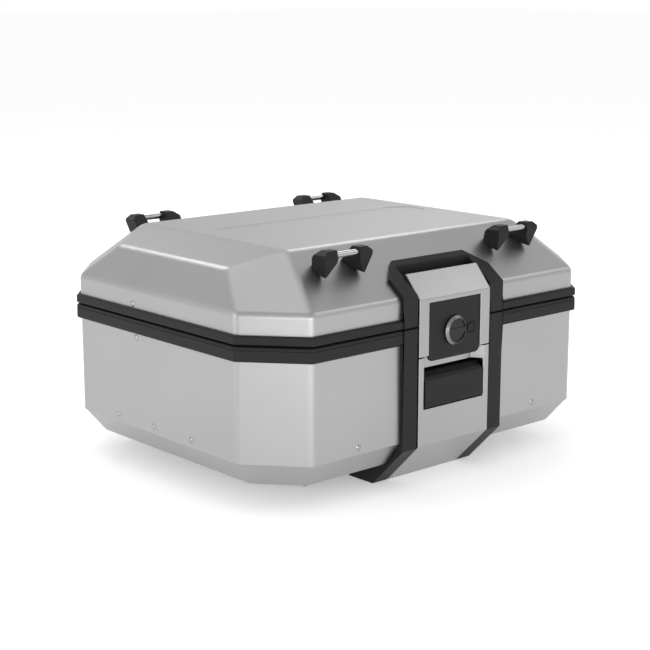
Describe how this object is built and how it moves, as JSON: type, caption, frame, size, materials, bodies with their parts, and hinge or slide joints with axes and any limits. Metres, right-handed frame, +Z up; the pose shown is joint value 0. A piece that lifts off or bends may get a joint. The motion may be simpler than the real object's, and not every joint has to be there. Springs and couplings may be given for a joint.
{
  "type": "motorcycle top case",
  "caption": "Faceted aluminium motorcycle top case with a hinged lid, front latch with rotary lock, release lever and tie-down cleats.",
  "frame": {"origin": "centre of the bounding box in plan, on the standing surface under the mounting foot", "axes": "+Z up, +X along the long side, -Y the latch side, +Y the hinge side"},
  "size_m": [0.5, 0.4178, 0.263],
  "materials": {
    "aluminium_shell": "satin brushed, clear anodised",
    "latch_silver": "satin silver",
    "black_moulding": "fine grained charcoal",
    "dial_black": "satin black with a bright edge",
    "steel": "polished stainless",
    "zinc_steel": "zinc plated",
    "rivet": "bare",
    "seal": "soft black",
    "mat": "ribbed black",
    "webbing": "woven black"
  },
  "bodies": {
    "base": {"base_latch_housing": "black_moulding", "base_pan": "aluminium_shell", "base_rim": "black_moulding", "base_wall": "aluminium_shell", "bolt_housing": "black_moulding", "bolt_spring": "zinc_steel", "floor_mat": "mat", "foot_screws": "zinc_steel", "hinge_base_leaf_left": "steel", "hinge_base_leaf_right": "steel", "hinge_pin_left": "steel", "hinge_pin_right": "steel", "hinge_rivets_base": "rivet", "lever_pin": "steel", "lid_strap_left": "webbing", "lid_strap_right": "webbing", "lower_panel": "latch_silver", "mounting_foot": "black_moulding", "pan_rivets": "rivet", "strap_rivets_base": "rivet", "striker": "zinc_steel", "striker_screws": "zinc_steel"},
    "lid": {"cleat_bar_front_left": "steel", "cleat_bar_front_right": "steel", "cleat_bar_rear_left": "steel", "cleat_bar_rear_right": "steel", "cleat_post_front_left_inner": "black_moulding", "cleat_post_front_left_outer": "black_moulding", "cleat_post_front_right_inner": "black_moulding", "cleat_post_front_right_outer": "black_moulding", "cleat_post_rear_left_inner": "black_moulding", "cleat_post_rear_left_outer": "black_moulding", "cleat_post_rear_right_inner": "black_moulding", "cleat_post_rear_right_outer": "black_moulding", "cleat_screws": "zinc_steel", "flap_pin": "steel", "hinge_lid_leaf_left": "steel", "hinge_lid_leaf_right": "steel", "hinge_rivets_lid": "rivet", "lid_latch_housing": "black_moulding", "lid_rim": "black_moulding", "lid_seal": "seal", "lid_shell": "aluminium_shell", "strap_rivets_lid": "rivet"},
    "latch_flap": {"latch_cover": "latch_silver", "lock_plate": "black_moulding", "shutter_tab": "black_moulding"},
    "lock": {"lock_dial": "dial_black", "lock_cam": "zinc_steel", "cam_nut": "zinc_steel"},
    "release_lever": {"release_lever": "black_moulding"},
    "mount_bolt": {"mount_bolt": "zinc_steel"}
  },
  "joints": [
    {"name": "lid_hinge", "type": "hinge", "parent": "base", "child": "lid", "pos_m": [0, 0.2044, 0.1758], "axis": [-1, 0, 0], "range_deg": [0, 75], "deforming": ["lid_strap_left", "lid_strap_right"]},
    {"name": "latch_flap_hinge", "type": "hinge", "parent": "lid", "child": "latch_flap", "pos_m": [0, -0.1796, 0.2205], "axis": [-1, 0, 0], "range_deg": [0, 50]},
    {"name": "lock_turn", "type": "hinge", "parent": "latch_flap", "child": "lock", "pos_m": [0, -0.2026, 0.1655], "axis": [0, 1, 0], "range_deg": [0, 90]},
    {"name": "release_lever_pivot", "type": "hinge", "parent": "base", "child": "release_lever", "pos_m": [0, -0.2026, 0.0895], "axis": [1, 0, 0], "range_deg": [0, 22]},
    {"name": "mount_bolt_slide", "type": "slide", "parent": "base", "child": "mount_bolt", "axis": [0, 1, 0], "range_m": [0, 0.00968], "stiffness_N_per_m": 400, "springref_m": -0.01, "deforming": ["bolt_spring"]}
  ],
  "couplings": [
    {"joint": "release_lever_pivot", "follows": "mount_bolt_slide", "rad_per_m": 39.65}
  ]
}
